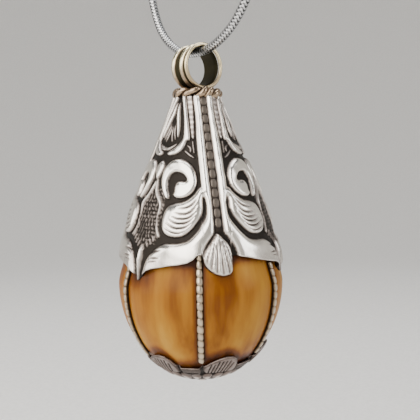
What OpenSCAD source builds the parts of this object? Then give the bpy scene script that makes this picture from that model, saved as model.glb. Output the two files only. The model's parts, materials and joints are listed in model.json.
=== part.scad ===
// Pendant necklace: a resin drop held between two silver caps by six beaded straps, hung by a ribbed
// bail from a snake chain that hangs in three turns and is closed by a lobster clasp.
// Millimetres, +Z up. The origin is the centre of the rod that the chain hangs over.

/* [Chain] */
// Diameter of the snake chain
chain_d = 1.5; // [1.2:0.1:1.5]
// Height of the chain's lowest point, inside the bail
chain_low_z = -56; // [-56:1:-56]
// Sides of the chain's tube
chain_sides = 8; // [8:1:12]
// Number of rings along the chain's tube
chain_rings = 80; // [70:1:100]

/* [Bail] */
// Radius of the bail's bore
bail_bore_r = 3.4; // [3.2:0.1:3.5]
// Outer radius of the bail over its ribs
bail_r = 4.1; // [4:0.05:4.2]
// Length of the bail along its bore
bail_len = 4.7; // [4.4:0.1:4.8]
// Distance from the chain's centre down to the bore's axis
bail_drop = 2.3; // [2.2:0.05:2.35]

/* [Pendant] */
// Widest radius of the resin drop
drop_r = 14.2; // [13.8:0.1:14.4]
// Height of the drop below its widest point
drop_low_h = 16.8; // [16:0.1:17.5]
// Depth of the widest point below the bore's axis
belly_depth = 37.5; // [37:0.5:39]
// Thickness of the silver caps
cap_t = 0.7; // [0.5:0.1:0.8]
// Depth of the upper cap's rim points below the bore's axis
rim_depth = 35.3; // [34.8:0.1:35.6]
// Depth of the lower cap's rim below the bore's axis
foot_rim_depth = 48.6; // [48:0.1:49.5]
// Number of beaded straps
strap_count = 6; // [6:1:6]
// Width of a strap
strap_w = 1.2; // [0.8:0.1:1.2]
// Height of a strap off the drop
strap_t = 0.5; // [0.4:0.05:0.6]
// Width of the milled wire down each front of the upper cap
spine_w = 1.2; // [1:0.1:1.8]

/* [Clasp] */
// Wire diameter of the jump rings and loops
wire_d = 0.7; // [0.6:0.05:0.7]
// Radius of a jump ring, to the middle of its wire
ring_r = 1.75; // [1.7:0.05:1.85]
// Thickness of the clasp
clasp_t = 2; // [1.8:0.1:2.2]
// Radius of the clasp's pin
pin_r = 0.3; // [0.25:0.05:0.35]

/* [Hidden] */

silver = [0.80, 0.78, 0.75];
dark_silver = [0.45, 0.43, 0.41];
pale_gold = [0.82, 0.74, 0.50];
amber = [0.80, 0.46, 0.10];
lac_brown = [0.23, 0.14, 0.08];
chain_grey = [0.66, 0.66, 0.67];

fine = 96;      // facets of the larger round parts
small = 48;     // facets of the smaller round parts
gap = 0.05;     // gap between parts that nest in each other

chain_r = chain_d / 2;
bail_z = chain_low_z - bail_drop;
wire_r = wire_d / 2;

// The clasp hangs on a line beside the three turns
clasp_x = 15;
clasp_y = -4.3;

// Angle of the bore's axis and of the cap's three fronts round the drop
front_turn = -22;   // first front, from +X
strap_turn = -37;   // first strap, from +X
front_count = 3;

// The chain's route: up from one end cap and over the rod, round a turn, down through the bail, round again
// and round a third turn to the other end cap
ROUTE = [
  [15, -4.3, -4.5], [15, -4.3, -1], [14.4, -4.1, 4.2], [10.6, -3.7, 10.6], [4, -3.4, 14.5], [-4, -3.4, 14.5],
  [-10.6, -3.4, 10.6], [-14.4, -3.4, 4.2], [-15, -3.4, -4], [-14.9, -3.4, -14], [-13.6, -3.3, -25],
  [-8, -2.8, -33], [0, -2.2, -36], [8, -1.6, -33], [13.6, -1, -25], [14.9, -0.8, -14], [15, -0.6, -4],
  [14.4, -0.6, 4.2], [10.6, -0.6, 10.6], [4, -0.6, 14.5], [-4, -0.6, 14.5], [-10.6, -0.6, 10.6],
  [-14.4, -0.6, 4.2], [-15, -0.6, -5], [-15, -0.6, -18], [-14.8, -0.5, -31], [-13.8, -0.4, -42],
  [-11, -0.2, -50.2], [-6, 0, -54.7], [0, 0, -56], [6, 0, -55], [11.4, 0.2, -51.4], [14.8, 0.5, -45.2],
  [15.8, 0.8, -34], [15.6, 1.2, -21], [15.2, 1.5, -7], [14.4, 1.6, 4.2], [10.6, 1.6, 10.6], [4, 1.6, 14.5],
  [-4, 1.6, 14.5], [-10.6, 1.6, 10.6], [-14.4, 1.6, 4.2], [-15, 1.6, -5], [-15, 1.6, -17], [-14, 1.4, -28],
  [-8.6, 0.6, -37.4], [0, -1, -41], [7.4, -2.8, -38.8], [12.8, -3.9, -33.6], [14.9, -4.3, -28.4],
  [15, -4.3, -26.2], [15, -4.3, -25]
];

// ---------- helper functions ----------

// A point on a cubic Bezier curve
function bezier(p, t) =
  pow(1 - t, 3) * p[0] + 3 * t * pow(1 - t, 2) * p[1] + 3 * t * t * (1 - t) * p[2] + pow(t, 3) * p[3];

// A point on the smooth curve through the route's points
function at(i) = ROUTE[max(0, min(len(ROUTE) - 1, i))];
function on_route(i, t) =
  0.5 * (2 * at(i) + (at(i + 1) - at(i - 1)) * t
    + (2 * at(i - 1) - 5 * at(i) + 4 * at(i + 1) - at(i + 2)) * t * t
    + (3 * at(i) - at(i - 1) - 3 * at(i + 1) + at(i + 2)) * t * t * t);

function unit(v) = v / norm(v);
function reversed(list) = [for (i = [len(list) - 1:-1:0]) list[i]];

// The silhouette of the upper cap, from its neck to the belly, as [radius, height below the bore's axis]
CAP_CURVE = [[3.9, -5.65], [8.2, -17], [14.2, -27], [14.3, -belly_depth]];
function cap_curve(grow, from, to, steps) =
  [for (i = [0:steps]) bezier(CAP_CURVE, from + (to - from) * i / steps) + [grow, 0]];

// The upper half of the drop, grown outward: it follows the cap's inner face to the rim, then swells to the belly
swell_from = 0.93;     // just under the points of the cap's rim
swell = cap_t + gap + drop_r - CAP_CURVE[3][0];
function ease(s) = s * s * (3 - 2 * s);
function shoulder_curve(grow, from, steps) =
  [for (i = [0:steps]) let (t = from + (1 - from) * i / steps)
    bezier(CAP_CURVE, t) + [grow - cap_t - gap + swell * ease(max(0, (t - swell_from) / (1 - swell_from))), 0]];

// The lower half of the drop, from the belly down, grown outward
function drop_curve(grow, from, to, steps) =
  [for (i = [0:steps]) let (a = from + (to - from) * i / steps)
    [(drop_r + grow) * cos(a), -belly_depth - (drop_low_h + grow) * sin(a)]];

// Places the children in the pendant's frame, whose origin is the middle of the bail's bore
module pendant() translate([0, 0, bail_z]) children();

// ---------- chain ----------

// One swept tube, with its rings evenly spaced between the route's points
module chain() color(chain_grey) {
  last = chain_rings;
  place = [for (k = [0:last]) let (u = k * (len(ROUTE) - 1) / last) on_route(floor(u), u - floor(u))];
  heading = [for (k = [0:last]) unit(place[min(k + 1, last)] - place[max(k - 1, 0)])];
  rings = [for (k = [0:last])
    let (side = unit(cross(heading[k], [0, 1, 0])), lift = cross(side, heading[k]))
    for (j = [0:chain_sides - 1]) let (a = 360 * (j + 0.5) / chain_sides)
      place[k] + chain_r * (cos(a) * side + sin(a) * lift)];
  walls = [for (k = [0:last - 1], j = [0:chain_sides - 1]) let (n = (j + 1) % chain_sides, b = k * chain_sides)
    [b + j, b + n, b + n + chain_sides, b + j + chain_sides]];
  ends = [
    [for (j = [chain_sides - 1:-1:0]) j],
    [for (j = [0:chain_sides - 1]) last * chain_sides + j]
  ];
  polyhedron(points = rings, faces = concat(walls, ends), convexity = 10);
}

// ---------- bail ----------

rim_wire_d = 0.65;
rim_wire_x = bail_len / 2 - rim_wire_d / 2;

// Ribbed band: a wide rib, a deep groove and a second rib, turned round the X axis
BAIL_RIBS = [[-1.6, 1.3], [0.75, 1.2]];     // each rib's middle along the bore, and its width
band_share = 0.55;                          // share of the wall under the ribs
rib_bend = 0.45;                            // roundness of a rib's back, as a share of its width
module bail_band() color(pale_gold) pendant() rotate([0, 90, 0]) rotate_extrude($fn = fine) {
  wall = bail_r - bail_bore_r;
  band_len = bail_len - rim_wire_d - gap;
  translate([bail_bore_r, -bail_len / 2]) square([wall * band_share, band_len]);
  for (rib = BAIL_RIBS)
    translate([bail_bore_r + wall / 2, rib[0]]) intersection() {
      translate([0, -rib[1] / 2]) square([wall / 2, rib[1]]);
      translate([-rib[1] * rib_bend, 0]) circle(r = rib[1] * rib_bend + wall / 2, $fn = small);
    }
}

// Round wire soldered to the band's front edge
module bail_rim_wire() color(pale_gold) pendant() translate([rim_wire_x, 0, 0]) rotate([0, 90, 0])
  rotate_extrude($fn = fine) translate([bail_bore_r + rim_wire_d / 2, 0]) circle(d = rim_wire_d, $fn = 32);

// ---------- neck ----------

collar_wire_r = 0.85;
collar_r = 3.5;
collar_z = -4.75;
bail_clear = 0.02;          // play between the bail's ribs and the plug's top
neck_top_z = -bail_r - bail_clear;
neck_r = 2.55;

// Turned plug that closes the neck and carries the bail
plug_foot_z = -6.5;
plug_foot_h = 0.6;
plug_foot_r = 3.05;
module neck_plug() color(dark_silver) pendant() translate([0, 0, plug_foot_z]) {
  cylinder(r = neck_r, h = neck_top_z - plug_foot_z, $fn = fine);
  cylinder(r = plug_foot_r, h = plug_foot_h, $fn = fine);
}

// Twisted wire round the neck
module collar_ring() color(pale_gold) pendant() translate([0, 0, collar_z])
  rotate_extrude($fn = fine) translate([collar_r, 0]) circle(r = collar_wire_r, $fn = small);

// ---------- caps ----------

notch_r = 5.3;          // radius of the arcs cut in the upper cap's rim
notch_drop = 2;         // height of their centres below the rim's points
notch_count = 6;
notch_turn = 30;        // first arc, from the first front
cap_steps = 24;
beyond = drop_r + 5;    // clear of everything outside the drop

// Radial cylinders that cut the arcs in the upper cap's rim
module rim_arcs(r)
  for (k = [0:notch_count - 1])
    rotate([0, 0, front_turn + notch_turn + k * 360 / notch_count]) translate([0, 0, -rim_depth - notch_drop])
      rotate([0, 90, 0]) cylinder(r = r, h = beyond, $fn = fine);

// Raised silver cone with a rim of six scallops
module upper_cap() color(silver) pendant() difference() {
  rotate_extrude($fn = fine) intersection() {
    polygon(concat(cap_curve(0, 0, 1, cap_steps), reversed(cap_curve(-cap_t, 0, 1, cap_steps))));
    translate([0, -rim_depth]) square([beyond, rim_depth]);
  }
  rim_arcs(notch_r);
}

// Petalled silver dish under the drop; a strap ends in every second notch of its rim
petal_count = 12;
petal_notch_r = 0.9;
foot_from = 20;         // where the dish's curve starts under the belly, degrees
foot_steps = 18;
foot_z = -belly_depth - drop_low_h - cap_t - gap;
module lower_cap() color(silver) pendant() difference() {
  rotate_extrude($fn = fine) intersection() {
    polygon(concat(
      drop_curve(cap_t + gap, foot_from, 90, foot_steps),
      reversed(drop_curve(gap, foot_from, 90, foot_steps))
    ));
    translate([0, foot_z - 1]) square([beyond, -foot_rim_depth - foot_z + 1]);
  }
  for (k = [0:petal_count - 1])
    rotate([0, 0, strap_turn + k * 360 / petal_count]) translate([0, 0, -foot_rim_depth]) rotate([0, 90, 0])
      cylinder(r = petal_notch_r, h = beyond, $fn = small);
}

// Small flat button under the lower cap, as [radius, height from its top]
KNOB = [[0, 0], [0.75, 0], [0.85, -0.12], [0.85, -0.35], [0.7, -0.52], [0.4, -0.6], [0, -0.62]];
module bottom_knob() color(silver) pendant()
  translate([0, 0, foot_z - gap]) rotate_extrude($fn = small) polygon(KNOB);

// ---------- drop and filler ----------

drop_from = 10 / cap_steps;     // where on the cap's curve the drop's shoulder starts
shoulder = shoulder_curve(0, drop_from, 28);
shoulder_r = 3.5;               // radius of the drop's blunt top
shoulder_h = 2.4;               // height of the blunt top over the shoulder
drop_top_z = shoulder[0][1] + shoulder_h;

// Solid resin drop
module amber_drop() color(amber) pendant() rotate_extrude($fn = fine)
  polygon(concat(
    [[0, drop_top_z], [shoulder_r, drop_top_z]],
    shoulder,
    drop_curve(0, 2, 90, 24)
  ));

// Hard lac poured into the cap over the drop
lac_top_z = plug_foot_z - gap;
lac_trim = 0.2;         // the cap's curve is left out this near to the lac's two ends
lac_lift = 0.15;        // height of the lac's foot over the drop's shoulder
module lac_filler() color(lac_brown) pendant() rotate_extrude($fn = fine)
  polygon(concat(
    [[0, lac_top_z], [neck_r, lac_top_z]],
    [for (p = cap_curve(-cap_t - 2 * gap, 0, 1, cap_steps))
      if (p[1] < lac_top_z - lac_trim && p[1] > shoulder[0][1] + lac_trim) p],
    [shoulder[0] + [-gap, lac_lift], [shoulder_r, drop_top_z + gap], [0, drop_top_z + gap]]
  ));

// ---------- beaded wires ----------

// Slab along one meridian
module meridian_slab(angle, width, top, bottom)
  rotate([0, 0, angle]) translate([0, -width / 2, bottom]) cube([beyond, width, top - bottom]);

// Strap from the upper cap's rim down the drop to a notch of the lower cap's rim
strap_steps = 16;
strap_from = 0.76;          // where on the shoulder's curve a strap starts
strap_to = 45;              // where on the lower curve it may end, degrees
strap_top_z = -31;
strap_tuck = 0.6;           // how far a strap runs down into its notch
strap_foot_z = -foot_rim_depth - strap_tuck;
function strap_face(grow) =
  concat(shoulder_curve(grow, strap_from, strap_steps), drop_curve(grow, 3, strap_to, strap_steps));
module strap(k) color(silver) pendant() intersection() {
  rotate_extrude($fn = fine) polygon(concat(strap_face(strap_t), reversed(strap_face(gap))));
  meridian_slab(strap_turn + k * 360 / strap_count, strap_w, strap_top_z, strap_foot_z);
  union() {
    rim_arcs(notch_r - gap);
    translate([-beyond, -beyond, foot_z]) cube([2 * beyond, 2 * beyond, -rim_depth - notch_drop - foot_z]);
  }
}
module strap_1() strap(0);
module strap_2() strap(1);
module strap_3() strap(2);
module strap_4() strap(3);
module strap_5() strap(4);
module strap_6() strap(5);

// Milled wire down the middle of one front of the upper cap
spine_t = 0.35;
spine_top_z = -6.4;
spine_foot_z = -32;
spine_steps = 20;
spine_from = 0.02;          // where on the cap's curve its face starts
spine_to = 0.8;             // and ends
function spine_face(grow) = cap_curve(grow, spine_from, spine_to, spine_steps);
module spine_wire(k) color(dark_silver) pendant() intersection() {
  rotate_extrude($fn = fine) polygon(concat(spine_face(spine_t), reversed(spine_face(gap / 2))));
  meridian_slab(front_turn + k * 360 / front_count, spine_w, spine_top_z, spine_foot_z);
}
module spine_wire_1() spine_wire(0);
module spine_wire_2() spine_wire(1);
module spine_wire_3() spine_wire(2);

// ---------- chain ends, jump rings and clasp, on one plumb line ----------

loop_r = 1.1;                                     // loops on the end caps and the clasp, to mid-wire
slack = 0.4;                                      // play left at the open end of the line
tube_r = 1.15;
tube_h = 3.5;
pin_a_z = -8;                                     // wire of the upper loop that jump ring a hangs on
reach = 2 * (ring_r - wire_r) - wire_d - 2 * gap; // between the two wires inside one jump ring
pin_tail_z = pin_a_z - reach;                     // clasp's tail wire, in jump ring a
hook_wire_r = 0.45;
pin_hook_z = pin_tail_z - 10.2;                   // clasp's hook, in jump ring b
ring_b_z = pin_hook_z + hook_wire_r + wire_r + gap - ring_r;
pin_b_z = ring_b_z - ring_r + 2 * wire_r + gap + slack;

module on_line(z) translate([clasp_x, clasp_y, z]) children();

// A ring of wire lying in the XZ plane
module loop_xz(r, wire) rotate([90, 0, 0]) rotate_extrude($fn = small) translate([r, 0]) circle(r = wire, $fn = 24);

// A ring of wire lying in the YZ plane
module loop_yz(r, wire) rotate([0, 90, 0]) rotate_extrude($fn = small) translate([r, 0]) circle(r = wire, $fn = 24);

// Crimped tube over a chain end, with its loop; the tube points up from the loop
tube_floor = 0.9;     // solid end of the tube, over its loop
tube_foot_z = 1;      // height of the tube's foot over the loop's middle
module end_cap() {
  difference() {
    translate([0, 0, tube_foot_z]) cylinder(r = tube_r, h = tube_h, $fn = small);
    translate([0, 0, tube_foot_z + tube_floor]) cylinder(r = chain_r + gap, h = tube_h, $fn = small);
  }
  loop_xz(loop_r, wire_r);
}
module end_cap_a() color(chain_grey) on_line(pin_a_z + loop_r) end_cap();
module end_cap_b() color(chain_grey) on_line(pin_b_z - loop_r) rotate([180, 0, 0]) end_cap();

module jump_ring_a() color(chain_grey) on_line(pin_a_z + wire_r + wire_r + gap - ring_r) loop_yz(ring_r, wire_r);
module jump_ring_b() color(chain_grey) on_line(ring_b_z) loop_yz(ring_r, wire_r);

// Lobster clasp, drawn from its tail wire down: tail loop, head with a slot, back and hook
head_r = 1.95;
head_z = -3.9;
hook_r = 2;
hook_z = pin_hook_z - pin_tail_z + hook_r;
hook_flat = 1.3;          // the hook's section is this much higher than wide
pivot = [1, -4.2];
root = [hook_r, clasp_t, 2.6];
root_z = head_z - 1.6;
slot = [5, 1.1, 4.1];
slot_corner = [-1.1, head_z - 3];
hook_box = 4;             // clear of the hook on every side
hook_back_h = 0.1;        // how far the hook's bend runs past its middle, at the back
hook_tip_h = -0.5;        // and at the tip
module on_pivot() translate([pivot[0], 0, pivot[1]]) rotate([90, 0, 0]) children();
module clasp_body() color(chain_grey) on_line(pin_tail_z) {
  translate([0, 0, -loop_r]) loop_xz(loop_r, wire_r);
  difference() {
    union() {
      translate([0, 0, head_z]) rotate([90, 0, 0]) cylinder(r = head_r, h = clasp_t, center = true, $fn = small);
      translate([-hook_r - hook_wire_r, -clasp_t / 2, hook_z]) cube([2 * hook_wire_r, clasp_t, head_z - hook_z]);
      translate([-hook_r, -clasp_t / 2, root_z]) cube(root);
    }
    translate([slot_corner[0], -slot[1] / 2, slot_corner[1]]) cube(slot);
    on_pivot() cylinder(r = pin_r, h = 2 * clasp_t, center = true, $fn = small);
  }
  intersection() {
    translate([0, 0, hook_z]) rotate([90, 0, 0]) rotate_extrude($fn = small)
      translate([hook_r, 0]) scale([1, hook_flat]) circle(r = hook_wire_r, $fn = 32);
    union() {
      translate([-hook_box, -clasp_t, hook_z - hook_box]) cube([hook_box, 2 * clasp_t, hook_box + hook_back_h]);
      translate([0, -clasp_t, hook_z - hook_box]) cube([hook_box, 2 * clasp_t, hook_box + hook_tip_h]);
    }
  }
}

// Sprung gate of the clasp, with its thumb nub
lever_t = 0.9;
lever_root_r = 0.75;
lever_play = 0.03;        // between the gate and its pin
blade_x = 1.35;
blade_w = 0.7;
blade_foot_z = hook_z - 0.3;
nub = [1.9, lever_t, 0.8];
nub_x = 1.3;
nub_z = pivot[1] - 0.5;
nub_tilt = -35;
module clasp_lever() color(chain_grey) on_line(pin_tail_z) difference() {
  union() {
    on_pivot() cylinder(r = lever_root_r, h = lever_t, center = true, $fn = small);
    translate([blade_x, -lever_t / 2, blade_foot_z]) cube([blade_w, lever_t, pivot[1] - blade_foot_z]);
    translate([nub_x, -lever_t / 2, nub_z]) rotate([0, nub_tilt, 0]) cube(nub);
  }
  on_pivot() cylinder(r = pin_r + lever_play, h = 2 * clasp_t, center = true, $fn = small);
}

module clasp_pin() color(chain_grey) on_line(pin_tail_z)
  on_pivot() cylinder(r = pin_r, h = clasp_t, center = true, $fn = small);

// Leaf spring in the slot, behind the gate's root
spring = [0.15, 0.8, 2.2];
spring_x = -0.9;
module clasp_spring() color(dark_silver) on_line(pin_tail_z)
  translate([spring_x, -spring[1] / 2, pivot[1] - spring[2] / 2]) cube(spring);

// ---------- one line per node ----------

chain();
bail_band();
bail_rim_wire();
neck_plug();
collar_ring();
upper_cap();
lac_filler();
amber_drop();
spine_wire_1();
spine_wire_2();
spine_wire_3();
strap_1();
strap_2();
strap_3();
strap_4();
strap_5();
strap_6();
lower_cap();
bottom_knob();
end_cap_a();
end_cap_b();
jump_ring_a();
jump_ring_b();
clasp_body();
clasp_lever();
clasp_pin();
clasp_spring();
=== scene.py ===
"""Looks of the pendant necklace: a resin drop in chased silver caps, hung on a snake chain."""

import json
import math

import bpy
import numpy as np
from mathutils import Matrix, Vector


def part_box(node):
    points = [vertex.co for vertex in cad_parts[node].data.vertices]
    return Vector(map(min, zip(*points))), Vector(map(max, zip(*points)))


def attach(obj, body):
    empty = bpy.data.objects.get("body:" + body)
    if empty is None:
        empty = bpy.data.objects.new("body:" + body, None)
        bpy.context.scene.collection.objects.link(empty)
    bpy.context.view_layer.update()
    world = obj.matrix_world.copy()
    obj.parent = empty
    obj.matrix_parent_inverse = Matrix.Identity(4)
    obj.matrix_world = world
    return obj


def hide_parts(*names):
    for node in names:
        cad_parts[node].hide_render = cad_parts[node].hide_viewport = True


MM = 0.001
FRONT_TURN = -22.0    # polar angle of the first chased front, degrees
STRAP_TURN = -37.0    # polar angle of the first beaded strap
CAP_CURVE = [(3.9, -5.65), (8.2, -17), (14.2, -27), (14.3, -37.5)]
DROP_R = 14.2
BELLY = -37.5
DROP_LOW_H = 16.8
RNG = np.random.default_rng(7)

# The chain's route, millimetres from the middle of the rod it hangs over
ROUTE = [
    (15, -4.3, -4.5), (15, -4.3, -1), (14.4, -4.1, 4.2), (10.6, -3.7, 10.6), (4, -3.4, 14.5),
    (-4, -3.4, 14.5),
    (-10.6, -3.4, 10.6), (-14.4, -3.4, 4.2), (-15, -3.4, -4), (-14.9, -3.4, -14), (-13.6, -3.3, -25),
    (-8, -2.8, -33), (0, -2.2, -36), (8, -1.6, -33), (13.6, -1, -25), (14.9, -0.8, -14), (15, -0.6, -4),
    (14.4, -0.6, 4.2), (10.6, -0.6, 10.6), (4, -0.6, 14.5), (-4, -0.6, 14.5), (-10.6, -0.6, 10.6),
    (-14.4, -0.6, 4.2), (-15, -0.6, -5), (-15, -0.6, -18), (-14.8, -0.5, -31), (-13.8, -0.4, -42),
    (-11, -0.2, -50.2), (-6, 0, -54.7), (0, 0, -56), (6, 0, -55), (11.4, 0.2, -51.4), (14.8, 0.5, -45.2),
    (15.8, 0.8, -34), (15.6, 1.2, -21), (15.2, 1.5, -7), (14.4, 1.6, 4.2), (10.6, 1.6, 10.6),
    (4, 1.6, 14.5),
    (-4, 1.6, 14.5), (-10.6, 1.6, 10.6), (-14.4, 1.6, 4.2), (-15, 1.6, -5), (-15, 1.6, -17),
    (-14, 1.4, -28),
    (-8.6, 0.6, -37.4), (0, -1, -41), (7.4, -2.8, -38.8), (12.8, -3.9, -33.6), (14.9, -4.3, -28.4),
    (15, -4.3, -26.2), (15, -4.3, -25),
]


# ---------- meshes ----------

def mesh_piece(name, points, faces, material, attributes=None):
    """A smooth-shaded mesh object from points in millimetres."""
    mesh = bpy.data.meshes.new(name)
    mesh.from_pydata((np.asarray(points, float) * MM).tolist(), [], faces)
    mesh.update()
    for label, values in (attributes or {}).items():
        data = mesh.attributes.new(label, "FLOAT", "POINT")
        data.data.foreach_set("value", np.asarray(values, np.float32).ravel())
    mesh.polygons.foreach_set("use_smooth", [True] * len(mesh.polygons))
    mesh.materials.append(material)
    piece = bpy.data.objects.new(name, mesh)
    bpy.context.scene.collection.objects.link(piece)
    return piece


def grid_faces(rows, columns, start=0):
    """Quads of a grid stored row by row, where each row is a closed ring."""
    r = np.arange(rows - 1)[:, None]
    c = np.arange(columns)[None, :]
    n = (c + 1) % columns
    a = r * columns + c
    b = r * columns + n
    quads = np.stack([a, b, b + columns, a + columns], axis=-1).reshape(-1, 4) + start
    return quads.tolist()


def hang(piece, body, slot, *nodes):
    """The piece rides on a body and stands for these CAD nodes, which it hides; slot is not used."""
    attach(piece, body)
    if nodes:
        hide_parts(*nodes)
    return piece


def smooth_step(low, high, value):
    t = np.clip((value - low) / (high - low), 0, 1)
    return t * t * (3 - 2 * t)


def spline(a, b, c, d, t):
    """The point at share t of a smooth curve from b to c, with a before them and d after."""
    return 0.5 * (2 * b + (c - a) * t + (2 * a - 5 * b + 4 * c - d) * t * t
                  + (3 * b - a - 3 * c + d) * t**3)


# ---------- relief drawing ----------

def to_segments(x, z, path):
    """Distance to a path, and the path's other columns at the nearest point."""
    path = np.asarray(path, float)
    best = np.full(x.shape, 1e9)
    extra = np.zeros(x.shape + (path.shape[1] - 2,))
    for p, q in zip(path[:-1], path[1:]):
        run = q[:2] - p[:2]
        t = np.clip(((x - p[0]) * run[0] + (z - p[1]) * run[1]) / max(run @ run, 1e-9), 0, 1)
        d = np.hypot(x - p[0] - t * run[0], z - p[1] - t * run[1])
        near = d < best
        best = np.where(near, d, best)
        extra = np.where(near[..., None], p[2:] + t[..., None] * (q[2:] - p[2:]), extra)
    return best, extra


def ridge(x, z, path):
    """Height of a rounded band along a path of (x, z, half width, height)."""
    d, extra = to_segments(x, z, path)
    share = np.clip(d / np.maximum(extra[..., 0], 1e-6), 0, 1)
    return extra[..., 1] * np.sqrt(1 - share**2.4)


def groove(x, z, path):
    """Depth of an engraved line along a path of (x, z, half width, depth)."""
    d, extra = to_segments(x, z, path)
    return extra[..., 1] * (1 - smooth_step(0, 1, d / extra[..., 0]))


def inside_distance(x, z, outline):
    """Distance from inside a closed outline to its edge, and 0 outside it."""
    outline = [tuple(p) for p in outline]
    loop = outline + outline[:1]
    d, _ = to_segments(x, z, loop)
    inside = np.zeros(x.shape, bool)
    for (x0, z0), (x1, z1) in zip(loop[:-1], loop[1:]):
        if z0 == z1:
            continue
        crosses = (z0 > z) != (z1 > z)
        inside ^= crosses & (x < (x1 - x0) * (z - z0) / (z1 - z0) + x0)
    return np.where(inside, d, 0)


def dome(x, z, outline, height, edge):
    """A raised field with rounded edges."""
    t = np.clip(inside_distance(x, z, outline) / edge, 0, 1)
    return height * np.sqrt(1 - (1 - t) ** 2)


# ---------- upper cap ----------

def bezier(points, t):
    """Points of a cubic curve at the shares t."""
    p = [np.array(q, float) for q in points]
    t = t[:, None]
    return (1 - t) ** 3 * p[0] + 3 * t * (1 - t) ** 2 * p[1] + 3 * t * t * (1 - t) * p[2] + t**3 * p[3]


CAP_LINE = bezier(CAP_CURVE, np.linspace(0, 1, 300))


def cap_radius(z):
    return np.interp(-z, -CAP_LINE[:, 1], CAP_LINE[:, 0])


# Half a front: u is measured from the front's middle line, z down from the bore's axis
SPINE_FIELD = [(0.5, -5), (1.7, -5), (1.75, -9), (2.05, -12.6), (2.15, -16), (2.2, -19.4), (2.2, -21.4),
               (1.8, -22.5), (1.8, -24.3), (2.15, -25.4), (3.0, -26.6), (4.1, -27.8),
               (5.3, -28.7), (6.8, -29.1),
               (8.6, -29.2), (10.0, -29.6), (11.4, -30.5), (12.6, -31.6), (13.4, -33),
               (13.9, -34.6), (13, -37),
               (6, -36), (3.0, -34.5), (2.7, -31), (2.1, -29.4), (1.3, -28.3), (0.75, -27.4), (0.6, -24),
               (0.6, -18), (0.52, -12)]
MATTE_STRIP = [(1.85, -5), (2.75, -5), (2.78, -9), (2.78, -12.1), (2.5, -12.6), (2.25, -12.2), (1.95, -9)]
FLUTE = [(2.9, -5), (3.6, -5), (3.62, -8), (3.8, -10.2), (4.15, -12.2), (4.9, -13.2),
         (6.0, -14), (7.0, -14.5),
         (7.6, -14.9), (7.2, -15.3), (6.1, -15.2), (4.9, -14.7), (4.1, -13.9), (3.6, -13), (2.95, -12.5),
         (2.88, -9)]
SCROLL = [(5.4, -15.85), (6.6, -16.1), (7.6, -16.8), (8.4, -17.7), (8.9, -19), (8.95, -20.4), (8.7, -21.4),
          (8.2, -22.2), (7.65, -22.2), (7.6, -21.4), (7.75, -20.4), (7.55, -19.3),
          (6.9, -18.4), (6.0, -18.05),
          (5.0, -18.25), (4.45, -18.8), (4.4, -19.3), (4.8, -19.5), (5.5, -19.45),
          (6.15, -19.7), (6.5, -20.3),
          (6.65, -21.0), (6.9, -21.6), (6.3, -22.15), (5.1, -22.1), (4.0, -21.6),
          (3.2, -20.8), (2.7, -19.8),
          (2.65, -18.5), (3.0, -17.3), (3.7, -16.5), (4.5, -16.0)]
SHELL = [(0.9, -20.2), (2.5, -20.5), (3.3, -21.35), (4.3, -22.15), (5.4, -22.65),
         (6.8, -22.95), (8.0, -23.4),
         (8.9, -24.5), (9.4, -25.9), (9.35, -27.1), (8.7, -27.95), (7.4, -28.25),
         (6.1, -28.1), (5.2, -27.7),
         (4.3, -27.0), (3.4, -26.05), (2.65, -25.0), (2.2, -23.9), (2.1, -22.6), (1.8, -21.9), (0.9, -22)]
# Engraved lines: each point has a half width and a depth as well
SHELL_LINES = [
    [(6.2, -23.6, 0.12, 0.1), (5.0, -23.6, 0.2, 0.3), (3.9, -23.1, 0.2, 0.25), (2.8, -22.0, 0.1, 0.08)],
    [(6.8, -24.3, 0.12, 0.1), (5.6, -24.55, 0.2, 0.3), (4.3, -24.25, 0.2, 0.28), (3.0, -23.0, 0.1, 0.1)],
    [(7.3, -25.0, 0.12, 0.15), (6.0, -25.3, 0.22, 0.32), (4.6, -25.1, 0.2, 0.3), (3.3, -24.2, 0.1, 0.1)],
    [(7.8, -25.55, 0.12, 0.15), (6.5, -26.0, 0.22, 0.34), (5.0, -25.85, 0.22, 0.3),
     (3.8, -25.1, 0.1, 0.1)],
    [(8.3, -26.1, 0.12, 0.15), (7.0, -26.7, 0.22, 0.34), (5.5, -26.65, 0.22, 0.3), (4.3, -26.0, 0.1, 0.1)],
    [(8.75, -26.75, 0.12, 0.12), (7.7, -27.35, 0.2, 0.3), (6.5, -27.55, 0.2, 0.28),
     (5.4, -27.2, 0.1, 0.1)],
]
SWEEP_LINES = [
    [(9.6, -30.2, 0.12, 0.1), (10.8, -30.45, 0.2, 0.28), (11.8, -30.9, 0.1, 0.1)],
    [(9.9, -31.45, 0.12, 0.1), (10.9, -31.45, 0.2, 0.25), (11.9, -31.5, 0.1, 0.1)],
    [(10.2, -31.95, 0.1, 0.05), (11.2, -32.0, 0.15, 0.2), (12.2, -32.2, 0.1, 0.1)],
]
# Raised strokes: half width and height
CURL = [
    [(2.65, -13.1, 0.16, 0.25), (2.62, -14.9, 0.16, 0.25)],
    [(4.1, -14.6, 0.15, 0.25), (3.4, -15.25, 0.17, 0.3), (2.75, -15.7, 0.15, 0.25)],
    [(3.6, -13.7, 0.15, 0.22), (3.15, -14.1, 0.17, 0.28), (3.2, -14.7, 0.15, 0.25)],
]
# The ribbed fan under the milled wire leans a little, so its x is signed
FAN = [(-0.3, -27.7), (0.6, -28.5), (1.3, -29.3), (1.75, -30.4), (1.85, -31.9), (1.8, -33.4), (1.3, -34.1),
       (0, -34.3), (-1.2, -33.9), (-2.2, -33.2), (-2.8, -32.3), (-2.9, -31.1), (-2.2, -29.9),
       (-1.4, -28.9),
       (-0.8, -28.1)]
FAN_APEX = (-0.4, -26.0)
FAN_PITCH = 7.4
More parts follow.
